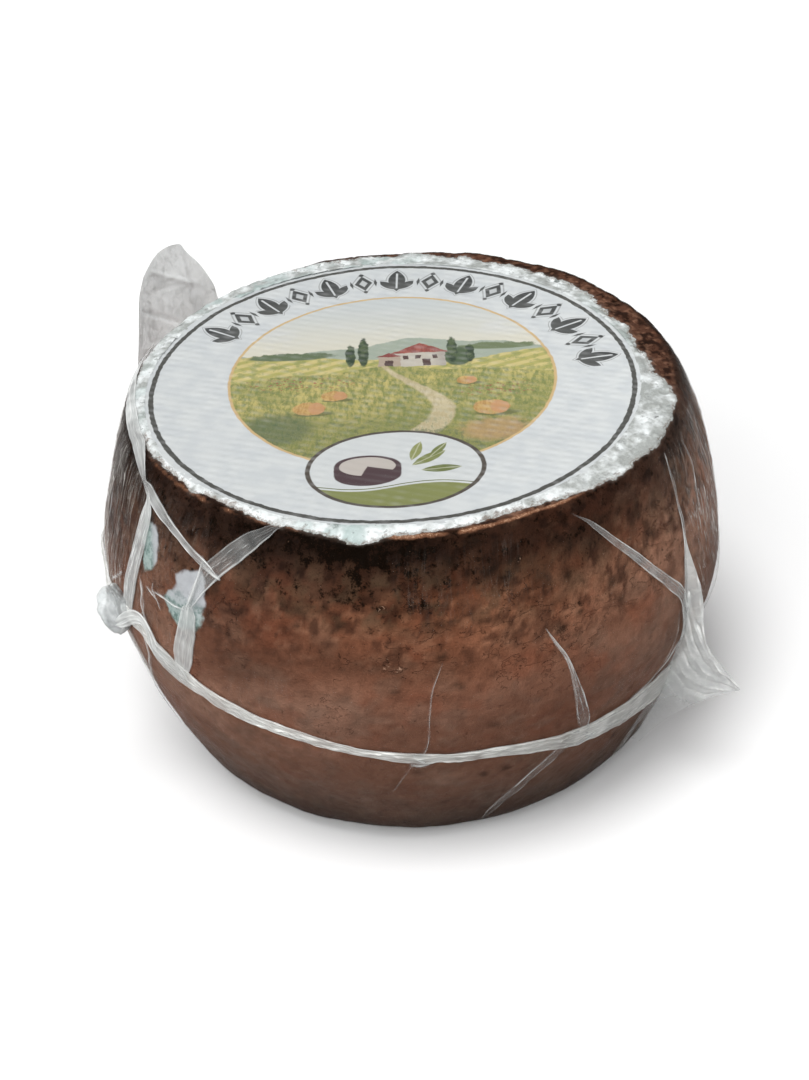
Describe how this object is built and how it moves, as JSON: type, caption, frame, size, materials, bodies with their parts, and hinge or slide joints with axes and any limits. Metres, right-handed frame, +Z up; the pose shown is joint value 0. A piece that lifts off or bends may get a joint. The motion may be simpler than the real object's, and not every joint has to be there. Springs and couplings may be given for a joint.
{
  "type": "pecorino cheese wheel",
  "caption": "Whole barrel-shaped wheel of aged pecorino with a dark natural rind, a round printed paper label on top and a tight clear shrink bag with corner ears.",
  "frame": {"origin": "centre of the flat foot that the wheel stands on", "axes": "+Z up through the wheel's axis, -Y towards the front, the side from which the label reads upright, +X to the right of that view"},
  "size_m": [0.1944, 0.1936, 0.1244],
  "materials": {
    "rind": null,
    "label_paper": "embossed white label paper with a flat colour print, seen under film",
    "clear_film": "clear shrink film, milky where it is folded"
  },
  "bodies": {
    "root": {"cheese_wheel": "rind", "paper_label": "label_paper", "film_bag": "clear_film"}
  },
  "joints": []
}
